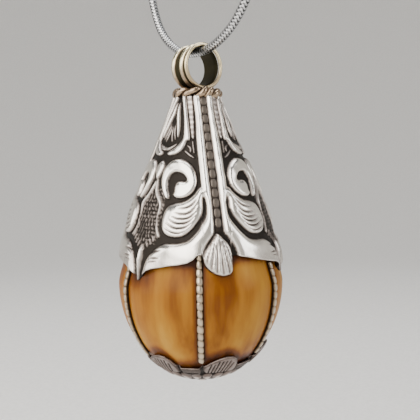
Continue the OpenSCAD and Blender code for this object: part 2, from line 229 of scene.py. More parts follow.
# The rim of one front: x signed, along a circle of radius RIM_R
RIM_R = 13.7
RIM = [(-14.4, -35.3), (-13.9, -34.9), (-13.2, -34.2), (-12.3, -33.5), (-11.3, -33.1), (-10.2, -32.9),
       (-8.3, -32.5), (-6.8, -32.3), (-5.4, -32.0), (-4.5, -31.5), (-4.0, -30.9),
       (-3.5, -30.7), (-3.05, -31.0),
       (-2.9, -32.0), (-2.5, -32.9), (-1.8, -33.5), (-1.0, -33.9), (0, -34.2), (0.9, -34.15), (1.5, -33.9),
       (1.8, -33.3), (1.95, -31.6), (2.3, -31.1), (4.2, -31.5), (6.5, -32.1), (8.3, -32.5), (10.2, -32.9),
       (11.3, -33.1), (12.3, -33.5), (13.2, -34.2), (13.9, -34.9), (14.4, -35.3)]

# Beside the line between two fronts: v is measured from that line
LOTUS = [(0.25, -6.3), (0.6, -7.1), (1.0, -8.4), (1.4, -9.6), (1.75, -10.8), (1.95, -12.0), (1.7, -12.3),
         (1.25, -11.3), (0.75, -10), (0.3, -8.7), (0.1, -7.2)]
STROKES = [
    [(0.5, -9.9, 0.1, 0.2), (0.75, -11.2, 0.17, 0.35), (1.3, -12.6, 0.12, 0.25)],
    [(0.15, -10.3, 0.1, 0.2), (0.3, -11.5, 0.17, 0.35), (0.7, -12.9, 0.12, 0.25)],
    [(0, -14.2, 0.25, 0.4), (0.8, -14.1, 0.28, 0.45), (1.8, -13.5, 0.15, 0.3)],
    [(0.1, -19.4, 0.22, 0.4), (0.6, -20.9, 0.28, 0.5), (1.3, -21.9, 0.3, 0.5), (2.1, -22.8, 0.3, 0.5),
     (2.3, -23.7, 0.28, 0.4), (2.15, -25, 0.18, 0.25), (2.5, -26.9, 0.2, 0.3), (3.3, -28.1, 0.22, 0.42)],
]
BUD = [(-0.9, -16.1), (0.3, -16.2), (0.85, -16.9), (0.8, -17.8), (0.45, -18.7), (0, -19.2), (-0.9, -19)]
HATCH = [[(2.65 - 0.62 * k, -27.7 - 0.48 * k, 0.15, 0.26), (3.05 - 0.62 * k, -28.4 - 0.48 * k, 0.15, 0.26)]
         for k in range(5)]
KEEL = [(0, -29.4, 0.1, 0.1), (0, -30.4, 0.6, 0.7), (0, -31.8, 0.8, 0.85), (0, -33.4, 0.6, 0.7),
        (0, -34.6, 0.45, 0.5), (0, -36, 0.4, 0.4)]
CAP_COLUMNS = 160     # across one front
CAP_ROWS = 186
CAP_TOP = -5.4        # height of the cap's top edge
ROUNDED_PARTS = 4     # pieces that each side of a smoothed outline is cut into
PUNCH_ROW = 0.62      # spacing of the punched strokes down the cap
PUNCH_STEP = 0.7      # and round it
CHANNEL = (0.57, -6, -27.4, -0.1)     # under a milled wire: half width, top, foot, height
RUNG = 0.85           # spacing of the faint rungs on the matte strip


def rounded(outline, closed=True):
    """A path made smooth: a closed outline, or an open line that keeps its ends."""
    p = np.asarray(outline, float)
    if closed:
        a, b, c, d = np.roll(p, 1, 0), p, np.roll(p, -1, 0), np.roll(p, -2, 0)
    else:
        long = np.vstack([p[:1], p, p[-1:]])
        a, b, c, d = long[:-3], long[1:-2], long[2:-1], long[3:]
    out = [spline(a, b, c, d, k / ROUNDED_PARTS) for k in range(ROUNDED_PARTS)]
    smooth = np.stack(out, axis=1).reshape(-1, p.shape[1])
    return smooth if closed else np.vstack([smooth, p[-1:]])


def keel(x, z, path):
    """Height of a sharp-backed ridge."""
    d, extra = to_segments(x, z, path)
    return extra[..., 1] * np.clip(1 - d / extra[..., 0], 0, 1)


def fan_relief(x, z):
    """The ribbed fan: its height, the darkness between its ribs and the distance to its outline."""
    outline = rounded(FAN)
    inside = inside_distance(x, z, outline)
    angle = np.degrees(np.arctan2(x - FAN_APEX[0], FAN_APEX[1] - z))
    rib = np.abs(np.cos(np.radians(180 * angle / FAN_PITCH))) ** 0.8
    crown = np.sqrt(1 - (1 - np.clip(inside / 0.9, 0, 1)) ** 2)
    cut = (1 - rib) * smooth_step(0.1, 0.5, inside)
    gap, _ = to_segments(x, z, np.vstack([outline, outline[:1]]))
    return np.where(inside > 0, 0.9 * crown - 0.3 * cut, 0), cut, np.where(inside > 0, 0, gap)


def punched(x, z):
    """Short punched strokes lying all ways; the large factors only scatter them."""
    row = np.floor(z / PUNCH_ROW)
    shift = np.modf(np.abs(np.sin(row * 12.9898) * 437.58))[0]
    cell = np.floor(x / PUNCH_STEP + shift)
    chance = np.modf(np.abs(np.sin(cell * 78.233 + row * 3.7) * 4375.85))[0]
    dx = (x / PUNCH_STEP + shift - cell - 0.5) * PUNCH_STEP
    dz = (z / PUNCH_ROW - row - 0.5) * PUNCH_ROW
    along = dx * np.cos(chance * 9) + dz * np.sin(chance * 9)
    across = dz * np.cos(chance * 9) - dx * np.sin(chance * 9)
    return np.clip(1 - np.hypot(along / 0.42, across / 0.2), 0, 1) ** 0.5 * (0.5 + 0.5 * chance)


def relief(x, z, v):
    """Height over the cap's plain cone, and how dark it is: tarnish in its recesses and engraved lines, with
    painted shade on the lower slopes of the raised work and towards the cap's bottom.
    """
    u = np.abs(x)
    raised = np.maximum.reduce([
        dome(u, z, rounded(SPINE_FIELD), 0.85, 1.1),
        dome(u, z, rounded(MATTE_STRIP), 0.32, 0.2),
        dome(u, z, rounded(FLUTE), 0.6, 0.42),
        dome(u, z, rounded(SCROLL), 0.75, 0.62),
        dome(u, z, rounded(SHELL), 0.85, 1.2),
        dome(v, z, rounded(LOTUS), 0.6, 0.4),
        dome(v, z, rounded(BUD), 0.6, 0.6),
        keel(v, z, KEEL),
        *[ridge(u, z, rounded(line, False)) for line in CURL],
        *[ridge(v, z, rounded(line, False)) for line in STROKES + HATCH],
    ])
    lines = np.maximum.reduce([groove(u, z, rounded(line, False)) for line in SHELL_LINES + SWEEP_LINES])
    fan, fan_dark, fan_gap = fan_relief(x, z)
    raised = np.where(fan > 0, fan, raised * smooth_step(0.1, 0.45, np.where(fan > 0, 1, fan_gap)))
    half, top, foot, level = CHANNEL
    raised = np.where((u < half) & (z < top) & (z > foot), level, raised)
    ground = smooth_step(0.34, 0.08, raised)
    tear = smooth_step(3.5, 2.4, v) * smooth_step(-19.6, -21, z) * smooth_step(-30.4, -29, z) * ground
    stroke = punched(x, z)
    strip = inside_distance(u, z, MATTE_STRIP) > 0
    rungs = 0.5 + 0.5 * np.cos(2 * math.pi * z / RUNG)
    height = raised - lines + 0.22 * stroke * tear - 0.06 * rungs * strip
    # painted shade on the lower slopes of each raised element and in a band towards the cap's bottom edge
    painted_flank_shade = 0.34 * smooth_step(0.66, 0.36, raised) * (1 - ground)
    painted_low_shade = 0.16 * smooth_step(-29.5, -32.5, z) * smooth_step(0.02, 0.2, raised)
    dark = np.clip(ground + painted_flank_shade + painted_low_shade - (0.1 + 0.42 * stroke) * tear + lines * 3.2, 0, 1)
    dark = np.where(strip, 0.3 + 0.25 * rungs, dark)
    return height, np.maximum(dark, fan_dark * 0.85)


def make_upper_cap(material):
    """The chased cone with its scalloped rim; three like fronts."""
    local = -60 + np.arange(CAP_COLUMNS) * 120 / CAP_COLUMNS
    rim = np.interp(np.radians(local) * RIM_R, *zip(*RIM))
    share = np.linspace(0, 1, CAP_ROWS)[:, None]
    z = CAP_TOP + (rim[None, :] - CAP_TOP) * share
    base = cap_radius(z)
    x = base * np.radians(local)[None, :]
    v = base * math.radians(60) - np.abs(x)
    height, dark = relief(x, z, v)
    radius = base - 0.25 + height
    # the rim turns in, and a short inner wall closes it against the drop
    z = np.vstack([z, rim - 0.12, rim - 0.05, rim + 1.5])
    radius = np.vstack([radius, radius[-1] - 0.15, radius[-1] - 0.6, cap_radius(rim) - 0.72])
    # painted shade: the turned-in rim and the inner wall against the drop are dark
    dark = np.vstack([dark, np.full((3, CAP_COLUMNS), 0.9)])
    z, radius, dark = (np.tile(part, (1, 3)) for part in (z, radius, dark))
    turn = np.radians(FRONT_TURN - 60 + np.arange(CAP_COLUMNS * 3) * 120 / CAP_COLUMNS)[None, :]
    wave = 0.035 * np.sin(z * 1.3 + 2 * np.sin(turn * 5)) * np.sin(turn * 11 + z)
    radius = radius + wave
    points = np.stack([radius * np.cos(turn), radius * np.sin(turn), z], axis=-1).reshape(-1, 3)
    faces = grid_faces(z.shape[0], CAP_COLUMNS * 3)
    cap = mesh_piece("chased_cap", points + CENTRE, faces, material, {"tarnish_and_painted_light": dark})
    return hang(cap, "pendant", "chased_silver", "upper_cap")


# ---------- milled wires and straps ----------

def frame_at(angle, radius, z, slope):
    """Axes at a point of a surface of revolution: across, along (down) and out."""
    a = math.radians(angle)
    out = np.array([math.cos(a), math.sin(a), 0.0])
    across = np.array([-math.sin(a), math.cos(a), 0.0])
    along = np.array([out[0] * slope[0], out[1] * slope[0], slope[1]])
    along = along / np.linalg.norm(along)
    normal = np.cross(along, across)
    if normal @ out < 0:
        normal = -normal
    return out * radius + np.array([0, 0, z]), across, along, normal


BEAD_SIDES = 12
BEAD_RINGS = 5
STRIP_STEP = 0.5      # spacing of a flat wire's sections, millimetres


def pillow(across_size, along_size, height):
    """A rounded bead: points over a half super-ellipsoid, in (across, along, up)."""
    points = []
    for i in range(BEAD_RINGS + 1):
        lift = math.sin(math.pi / 2 * i / BEAD_RINGS)
        width = math.cos(math.pi / 2 * i / BEAD_RINGS) ** 0.7
        for j in range(BEAD_SIDES):
            a = 2 * math.pi * (j + 0.5) / BEAD_SIDES
            points.append((across_size * width * math.copysign(abs(math.cos(a)) ** 0.7, math.cos(a)),
                           along_size * width * math.copysign(abs(math.sin(a)) ** 0.7, math.sin(a)),
                           height * lift))
    return np.array(points)


def strip_frame(angle, curve, run, s):
    """Axes on a meridian, at the distance s along its curve of (radius, z)."""
    r, z = np.interp(s, run, curve[:, 0]), np.interp(s, run, curve[:, 1])
    ahead = [np.interp(min(s + 0.3, run[-1]), run, curve[:, k]) for k in (0, 1)]
    behind = [np.interp(max(s - 0.3, 0), run, curve[:, k]) for k in (0, 1)]
    return frame_at(angle, r, z, np.subtract(ahead, behind))


def beaded_strip(name, angle, curve, half, pitch, bead, sink, tarnish_low, material, slant=0.0):
    """A flat wire down one meridian with a row of beads on it. curve is an array of (radius, z)."""
    step = np.linalg.norm(np.diff(curve, axis=0), axis=1)
    run = np.concatenate([[0], np.cumsum(step)])
    points, faces, dark = [], [], []
    section = [(-half, -0.3), (-half, 0.1), (-half * 0.8, 0.16),
               (half * 0.8, 0.16), (half, 0.1), (half, -0.3)]
    spots = np.linspace(0, run[-1], max(8, int(run[-1] / STRIP_STEP)))
    for s in spots:
        place, across, _, normal = strip_frame(angle, curve, run, s)
        for a, n in section:
            points.append(place + across * a + normal * n)
            dark.append(tarnish_low)
    sides = len(section)
    faces += grid_faces(len(spots), sides)
    faces += [list(range(sides))[::-1], [(len(spots) - 1) * sides + k for k in range(sides)]]
    shape = pillow(*bead)
    for s in np.arange(pitch / 2, run[-1], pitch):
        s = s + RNG.normal(0, 0.03)
        place, across, along, normal = strip_frame(angle, curve, run, s)
        start = len(points)
        grown = 1 + RNG.normal(0, 0.05)
        for a, l, n in shape:
            points.append(place + across * a * grown + along * (l + a * slant) + normal * (n + sink))
            dark.append(tarnish_low * (1 - n / bead[2]))
        faces += grid_faces(BEAD_RINGS + 1, BEAD_SIDES, start=start)
    return mesh_piece(name, np.array(points) + CENTRE, faces, material, {"tarnish_and_painted_light": dark})


def drop_line(grow, low_degrees, z_top):
    """Radius and height down the drop's surface."""
    upper = np.array([(r - 0.75, z) for r, z in CAP_LINE if z <= z_top])
    swell = smooth_step(-33, BELLY, upper[:, 1]) * (DROP_R + 0.75 - CAP_LINE[-1][0])
    upper[:, 0] += swell
    a = np.radians(np.linspace(2, low_degrees, 60))
    lower = np.stack([DROP_R * np.cos(a), BELLY - DROP_LOW_H * np.sin(a)], axis=1)
    return np.vstack([upper, lower]) + np.array([grow, 0])


def make_straps(material):
    for k in range(6):
        line = drop_line(0.1, 42, -30.6)
        strap = beaded_strip(f"beaded_strap_{k + 1}", STRAP_TURN + 60 * k, line, 0.56, 1.3,
                             (0.53, 0.8, 0.42), 0.05, 0.95, material, 0.2)
        hang(strap, "pendant", "beaded_silver", f"strap_{k + 1}")


def make_spine_wires(material):
    z = np.linspace(-5.5, -27.6, 60)
    line = np.stack([cap_radius(z) - 0.3, z], axis=1)
    for k in range(3):
        wire = beaded_strip(f"milled_wire_{k + 1}", FRONT_TURN + 120 * k, line, 0.58, 1.65,
                            (0.58, 0.8, 0.16), 0.12, 0.75, material)
        hang(wire, "pendant", "dark_silver", f"spine_wire_{k + 1}")


# ---------- collar, bail, drop, lower cap ----------

COLLAR_R = 3.45       # the rope's middle line: radius and height
COLLAR_Z = -4.75
BAIL_SINK = 0.15      # how far the worn bail hangs under its nominal axis, millimetres
BAIL_STEPS = 200
# Section of the ribbed band: place along the bore's axis, and radius
BAIL_BAND = [(-2.35, 3.34), (-2.33, 3.6), (-2.2, 3.82), (-1.95, 3.93), (-1.7, 3.93), (-1.45, 3.84),
             (-1.28, 3.64), (-1.18, 3.46), (-1.0, 3.38), (-0.6, 3.36), (-0.25, 3.38), (-0.1, 3.5),
             (0.02, 3.7), (0.2, 3.86), (0.45, 3.93), (0.7, 3.92), (0.92, 3.82), (1.06, 3.64), (1.15, 3.5),
             (1.35, 3.44), (1.6, 3.44), (1.64, 3.4), (1.62, 3.36), (0.5, 3.34), (-1.0, 3.34)]


def ring_tube(path, radius, sides=14):
    """Points and faces of a round wire along a closed path."""
    heading = np.roll(path, -1, axis=0) - np.roll(path, 1, axis=0)
    heading /= np.linalg.norm(heading, axis=1)[:, None]
    side = np.cross(heading, (0, 0, 1.0))
    side /= np.linalg.norm(side, axis=1)[:, None]
    lift = np.cross(side, heading)
    a = np.linspace(0, 2 * math.pi, sides, endpoint=False)
    points = (path[:, None, :] + radius * (np.cos(a)[None, :, None] * side[:, None, :]
                                           + np.sin(a)[None, :, None] * lift[:, None, :]))
    last = (len(path) - 1) * sides
    faces = grid_faces(len(path), sides)
    faces += [[last + j, last + (j + 1) % sides, (j + 1) % sides, j] for j in range(sides)]
    return points.reshape(-1, 3), faces


def make_collar(material):
    """Two thick wires twisted into a rope round the neck."""
    points, faces, dark = [], [], []
    turn = np.linspace(0, 2 * math.pi, 400, endpoint=False)
    for strand in (0, 1):
        twist = turn * 6 + strand * math.pi + 0.8 * np.sin(turn * 2) + 0.5 * np.sin(turn * 5 + 1)
        r = COLLAR_R + (0.42 + 0.05 * np.sin(turn * 7)) * np.cos(twist)
        height = COLLAR_Z + (0.42 + 0.08 * np.sin(turn * 3 + 2)) * np.sin(twist)
        path = np.stack([r * np.cos(turn), r * np.sin(turn), height], axis=1)
        p, f = ring_tube(path, 0.52 + 0.06 * strand)
        faces += [[i + len(points) for i in face] for face in f]
        away = np.hypot(np.hypot(p[:, 0], p[:, 1]) - COLLAR_R, p[:, 2] - COLLAR_Z)
        dark += list(1 - smooth_step(0.45, 0.8, away))
        points += p.tolist()
    collar = mesh_piece("twisted_collar", np.array(points) + CENTRE, faces, material, {"tarnish_and_painted_light": dark})
    hang(collar, "pendant", "gold_toned_collar", "collar_ring")


def bail_ring(name, section, tarnish_and_painted_light, material, node):
    """A closed section turned round the bore; its underside gets painted shade."""
    turn = np.linspace(0, 2 * math.pi, BAIL_STEPS, endpoint=False)
    wobble = 1 + 0.004 * np.sin(3 * turn + 1)
    r = section[:, 1][:, None] * wobble[None, :]
    along = np.repeat(section[:, 0][:, None], BAIL_STEPS, axis=1)
    points = np.stack([along, r * np.sin(turn), r * np.cos(turn)], axis=-1).reshape(-1, 3)
    # painted shade on the underside of the ring
    under = 0.42 * smooth_step(0.3, -0.6, np.cos(turn))
    dark = np.clip(tarnish_and_painted_light[:, None] + under[None, :], 0, 1)
    piece = mesh_piece(name, points + CENTRE - (0, 0, BAIL_SINK), grid_faces(len(section), BAIL_STEPS),
                       material, {"tarnish_and_painted_light": dark.ravel()})
    hang(piece, "pendant", "pale_gold_bail", node)


def make_bail(gold, rim_gold):
    """Ribbed band turned round the bore, with a round wire on its front edge."""
    band = np.array(BAIL_BAND + BAIL_BAND[:1])
    grooves = smooth_step(3.88, 3.5, band[:, 1])
    # painted shade inside the bore; the darkness of the grooves is tarnish
    inside = smooth_step(3.42, 3.36, band[:, 1])
    bail_ring("ribbed_bail", band, np.maximum(grooves, inside * 0.8), gold, "bail_band")
    wire = [(2.0 + 0.33 * math.sin(a), 3.64 + 0.32 * math.cos(a))
            for a in np.linspace(0, 2 * math.pi, 16, endpoint=False)]
    wire = np.array(wire + wire[:1])
    bail_ring("bail_wire", wire, np.zeros(len(wire)), rim_gold, "bail_rim_wire")


# The reddish cloud in the resin: degrees from the first strap, half width, height, half height
PATCH = (-47, 11, -34.5, 1.8)


def drop_shade_and_cloud(turn, z):
    """How brown the resin is: painted shade beside the straps, over the dish's rim and under the cap, plus
    the resin's own reddish-brown in one cloud.
    """
    from_strap = np.degrees(turn) - STRAP_TURN
    beside = np.abs((from_strap + 30) % 60 - 30) * math.radians(1) * DROP_R
    rim = np.interp(from_strap % 60 * FOOT_X, *zip(*FOOT_RIM))
    middle, half, level, half_height = PATCH
    aside = ((from_strap - middle + 180) % 360 - 180) / half
    cloud = np.exp(-(aside ** 2 + ((z - level) / half_height) ** 2))
    # painted shade beside the straps and over the dish's rim; the next line adds painted shade under the cap
    # and the resin's own cloud
    painted_shade_and_cloud = np.exp(-(beside / 0.9) ** 2) + smooth_step(2.2, 0.2, z - rim)
    return np.clip(painted_shade_and_cloud + smooth_step(-33.5, -31.5, z) + 0.9 * cloud, 0, 1)


def make_drop(material):
    """The resin drop, slightly lobed between its straps."""
    line = drop_line(0, 90, -30)
    turn = np.radians(np.arange(0, 360, 1.5))
    lobe = np.abs(np.sin(3 * (turn - math.radians(STRAP_TURN)))) ** 0.7
    swell = 0.42 * (lobe - 0.35)
    fade = np.clip(line[:, 0] / DROP_R, 0, 1) ** 2 * smooth_step(-30, -33.5, line[:, 1])
    r = np.maximum(line[:, 0][:, None] + swell[None, :] * fade[:, None], 0.001)
    z = np.repeat(line[:, 1][:, None], len(turn), axis=1)
    points = np.stack([r * np.cos(turn), r * np.sin(turn), z], axis=-1).reshape(-1, 3)
    faces = grid_faces(len(line), len(turn))
    top = len(points)
    points = np.vstack([points, [[0, 0, line[0][1]]]])
    faces += [[top, (j + 1) % len(turn), j] for j in range(len(turn))]
    painted_shade_and_cloud = np.append(drop_shade_and_cloud(turn, z).ravel(), 0)
    drop = mesh_piece("resin_drop", points + CENTRE, faces, material, {"painted_shade_and_cloud": painted_shade_and_cloud})
    hang(drop, "pendant", "amber_resin", "amber_drop")


# One sixth of the lower cap: x in millimetres round its rim from a strap, z down from the bore's axis
FOOT_X = 0.21         # millimetres a degree
FOOT_RIM = [(0, -50.2), (0.6, -49.6), (1.7, -48.9), (2.6, -48.5), (3.6, -48.15), (4.6, -47.9),
            (5.8, -48.0),
            (6.7, -48.6), (7.35, -49.6), (7.9, -50.2), (9.5, -50.1), (11.5, -50.1), (12.6, -50.2)]
FOOT_LEAF = [(0.25, -50.4), (0.6, -49.4), (1.7, -48.7), (2.7, -48.3), (3.6, -47.95),
             (4.7, -47.7), (5.9, -47.8),
             (6.8, -48.4), (7.5, -49.6), (7.75, -50.8), (7.2, -51.4), (5, -51.4), (3, -51.4), (1.0, -51.3)]
FOOT_PETAL = [(8.0, -49.9), (10, -49.7), (12, -49.8), (12.5, -50.5), (12.4, -51.4),
              (12.0, -52), (10, -52.2),
              (8.3, -52), (7.95, -51.2)]
FOOT_RIBS = [[(1.9 + 0.72 * k, -48.7 if 1 < k < 6 else -49.2, 0.22, 0.2), (1.4 + 0.72 * k, -51.0, 0.26, 0.3)]
             for k in range(7)]
FOOT_RIBS += [[(8.6, -51.1, 0.1, 0.1), (10, -51.35, 0.25, 0.16), (11.8, -51.1, 0.1, 0.1)]]
FOOT_LOBE = 3.15      # width of a small lobe of the second ring
FOOT_BOSS = 0.64      # height of the round boss that the button sits on
FOOT_LIFT = 0.15      # the dish's plain surface over the resin
FOOT_COLUMNS = 540
FOOT_ROWS = 96
KNOB_R = 0.86
KNOB_HALF = 0.34      # half its height


def foot_relief(x, z):
    """Height over the plain dish, and how dark it is: tarnish in its engraved ribs, painted shade over its
    low ground and gaps, and lighter raised tops and lobes, partly wear and partly painted highlight.
    """
    across = (x % FOOT_LOBE) / FOOT_LOBE * 2 - 1
    lobe = np.sqrt(np.clip(1 - across**2 - ((z + 52.5) / 0.85) ** 2, 0, 1))
    leg = np.sqrt(np.clip(1 - (across / 0.9) ** 2, 0, 1)) * smooth_step(-52.7, -53.1, z)
    height = np.maximum.reduce([
        dome(x, z, rounded(FOOT_LEAF), 0.6, 0.6),
        dome(x, z, rounded(FOOT_PETAL), 0.5, 0.7),
        0.62 * lobe,
        0.5 * leg * smooth_step(-54.4, -54.0, z),
        FOOT_BOSS * smooth_step(-53.7, -54.3, z),
    ])
    lines = np.maximum.reduce([groove(x, z, line) for line in FOOT_RIBS])
    # painted shade darkens the low ground and gaps; raised tops and lobes are lighter, partly wear and
    # partly painted highlight
    wear_and_painted_light = 0.42 * smooth_step(0.66, 0.5, height) + 0.3
    dark = np.clip(wear_and_painted_light - 0.32 * lobe + 0.5 * smooth_step(0.3, 0.05, height) + lines * 2.4, 0, 1)
    return height - lines, dark


def make_lower_cap(material):
    """Leafed dish under the drop: six ribbed leaves and six smooth petals over a ring of small lobes."""
    turn = np.arange(FOOT_COLUMNS) * 360 / FOOT_COLUMNS
    arc = turn % 60 * FOOT_X
    rim = np.interp(arc, *zip(*FOOT_RIM))
    start = np.degrees(np.arcsin((BELLY - rim) / (DROP_LOW_H + FOOT_LIFT)))
    share = np.linspace(0, 1, FOOT_ROWS)[:, None] ** 1.2
    angle = np.radians(start[None, :] + (90 - start[None, :]) * share)
    z = BELLY - (DROP_LOW_H + FOOT_LIFT) * np.sin(angle)
    height, dark = foot_relief(np.repeat(arc[None, :], FOOT_ROWS, axis=0), z)
    r = (DROP_R + FOOT_LIFT + height) * np.cos(angle)
    z = z - height * np.sin(angle)
    r = np.vstack([r[0] - 0.35, r])
    z = np.vstack([z[0] + 0.02, z])
    # the lip and the two rows under it are lighter, a painted highlight along the dish's top edge
    dark = np.vstack([np.full(FOOT_COLUMNS, 0.2), 0.6 * dark[:2], dark[2:]])
    a = np.radians(turn + STRAP_TURN)[None, :]
    points = np.stack([r * np.cos(a), r * np.sin(a), z], axis=-1).reshape(-1, 3)
    faces = grid_faces(FOOT_ROWS + 1, FOOT_COLUMNS)
    dish = mesh_piece("leafed_dish", points + CENTRE, faces, material, {"tarnish_and_painted_light": dark})
    hang(dish, "pendant", "foot_silver", "lower_cap")


def make_knob(material):
    """A small flat button, not quite round, under the dish."""
    low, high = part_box("bottom_knob")
    centre = np.array((low + high) / 2) / MM
    lat = np.linspace(0.01, math.pi - 0.01, 20)[:, None]
    lon = np.linspace(0, 2 * math.pi, 32, endpoint=False)[None, :]
    r = KNOB_R * np.sin(lat) ** 0.8 * (1 + 0.04 * np.sin(3 * lon))
    lift = KNOB_HALF * np.cos(lat) + 0 * lon
    points = np.stack([r * np.cos(lon), r * np.sin(lon), lift], axis=-1).reshape(-1, 3)
    # painted shade: darker at the top where it meets the dish and on its bottom face
    dark = np.repeat(smooth_step(0.5, 0.1, np.sin(lat)) * 0.7, 32, axis=1)
    knob = mesh_piece("foot_knob", points + centre, grid_faces(20, 32), material, {"tarnish_and_painted_light": dark})
    hang(knob, "pendant", "foot_silver", "bottom_knob")


# ---------- chain ----------

CHAIN_PITCH = 0.64    # length of one plate of the snake chain, millimetres
CHAIN_R = 0.735
CHAIN_SIDES = 20


def route_points(step):
    """Points along the smooth curve through the route, about step apart."""
    p = np.array(ROUTE, float)
    p = np.vstack([p[:1], p, p[-1:], p[-1:]])
    out = []
    for i in range(1, len(ROUTE)):
        a, b, c, d = p[i - 1], p[i], p[i + 1], p[i + 2]
        for t in np.linspace(0, 1, 40, endpoint=False):
            out.append(spline(a, b, c, d, t))
    out.append(np.array(ROUTE[-1], float))
    out = np.array(out)
    run = np.concatenate([[0], np.cumsum(np.linalg.norm(np.diff(out, axis=0), axis=1))])
    spots = np.linspace(0, run[-1], int(run[-1] / step) + 1)
    return np.stack([np.interp(spots, run, out[:, k]) for k in range(3)], axis=1), run[-1]


def make_chain(material):
    """Snake chain: a 1.5 mm tube of fine slanted plates along the whole route."""
    path, length = route_points(0.1)
    heading = np.gradient(path, axis=0)
    heading /= np.linalg.norm(heading, axis=1)[:, None]
    side = np.cross(heading, (0, 1.0, 0))
    side /= np.linalg.norm(side, axis=1)[:, None]
    lift = np.cross(side, heading)
    a = np.linspace(0, 2 * math.pi, CHAIN_SIDES, endpoint=False)
    run = np.arange(len(path))[:, None] * length / (len(path) - 1)
    ridge = (0.5 - 0.5 * np.cos(4 * a))[None, :]
    phase = run / CHAIN_PITCH + 0.7 * (1 - ridge)
    valley = (0.5 - 0.5 * np.cos(2 * math.pi * phase)) ** 2
    radius = CHAIN_R * (1 + 0.04 * (ridge - 0.5)) * (1 - 0.15 * valley * (1 - 0.3 * ridge))
    # tarnish darkens the valleys between plates; the four ridge lines are kept lighter than the flat faces
    # as a painted highlight
    dark = valley * (1.15 - 0.5 * ridge) + 0.24 * (1 - ridge)
    points = path[:, None, :] + radius[..., None] * (
        np.cos(a)[None, :, None] * side[:, None, :] + np.sin(a)[None, :, None] * lift[:, None, :])
    points = points.reshape(-1, 3)
    faces = grid_faces(len(path), CHAIN_SIDES)
    last = (len(path) - 1) * CHAIN_SIDES
    faces += [list(range(CHAIN_SIDES))[::-1], [last + j for j in range(CHAIN_SIDES)]]
    chain = mesh_piece("snake_chain", points, faces, material, {"tarnish_and_painted_light": dark.ravel()})
    hang(chain, "hung_chain", "snake_chain", "chain")
    line, _ = route_points(1.0)


# ---------- materials ----------

METAL_GRAIN = 900     # scale of the metals' speckle
METAL_SPREAD = 0.3    # how much it shifts the tarnish and painted light


def new_material(name):
    material = bpy.data.materials.new(name)
    material.use_nodes = True
    tree = material.node_tree
    tree.nodes.clear()
    out = tree.nodes.new("ShaderNodeOutputMaterial")
    shader = tree.nodes.new("ShaderNodeBsdfPrincipled")
    tree.links.new(shader.outputs["BSDF"], out.inputs["Surface"])
    return material, tree, shader


def noise(tree, scale, detail=3.0, stretch=(1, 1, 1)):
    """A noise value over the object's own coordinates, in metres times scale."""
    place = tree.nodes.new("ShaderNodeTexCoord")
    mapping = tree.nodes.new("ShaderNodeMapping")
    mapping.inputs["Scale"].default_value = stretch
    texture = tree.nodes.new("ShaderNodeTexNoise")
    texture.inputs["Scale"].default_value = scale
    texture.inputs["Detail"].default_value = detail
    tree.links.new(place.outputs["Object"], mapping.inputs["Vector"])
    tree.links.new(mapping.outputs["Vector"], texture.inputs["Vector"])
    return texture.outputs["Fac"]


def math_node(tree, operation, a, b):
    node = tree.nodes.new("ShaderNodeMath")
    node.operation = operation
    for socket, value in zip(node.inputs, (a, b)):
        if isinstance(value, (int, float)):
            socket.default_value = value
        else:
            tree.links.new(value, socket)
    return node.outputs[0]


def ramp(tree, value, stops):
    """A colour ramp; stops are (position, colour)."""
    node = tree.nodes.new("ShaderNodeValToRGB")
    while len(node.color_ramp.elements) < len(stops):
        node.color_ramp.elements.new(0.5)
    for element, (position, colour) in zip(node.color_ramp.elements, stops):
        element.position = position
        element.color = (*colour, 1)
    tree.links.new(value, node.inputs["Fac"])
    return node.outputs["Color"]


def bump(tree, shader, value, strength, distance):
    node = tree.nodes.new("ShaderNodeBump")
    node.inputs["Strength"].default_value = strength
    node.inputs["Distance"].default_value = distance
    tree.links.new(value, node.inputs["Height"])
    tree.links.new(node.outputs["Normal"], shader.inputs["Normal"])


def tarnish_and_light_metal(name, bright, middle, dark, smooth=0.2, rough=0.6):
    """Polished metal darkened and dulled by an attribute of tarnish and painted light, broken up by noise.
    """
    material, tree, shader = new_material(name)
    attribute = tree.nodes.new("ShaderNodeAttribute")
    # the attribute holds tarnish and, on some pieces, painted shade and painted highlight
    attribute.attribute_name = "tarnish_and_painted_light"
    speckle = math_node(tree, "SUBTRACT", noise(tree, METAL_GRAIN), 0.5)
    speckle = math_node(tree, "MULTIPLY", speckle, METAL_SPREAD)
    level = math_node(tree, "ADD", attribute.outputs["Fac"], speckle)
    colour = ramp(tree, level, [(0.0, bright), (0.45, middle), (0.85, dark)])
    tree.links.new(colour, shader.inputs["Base Color"])
    dull = ramp(tree, level, [(0.0, (smooth,) * 3), (0.8, (rough,) * 3)])
    tree.links.new(dull, shader.inputs["Roughness"])
    shader.inputs["Metallic"].default_value = 1.0
    bump(tree, shader, noise(tree, METAL_GRAIN * 1.7), 0.12, 0.0001)
    return material


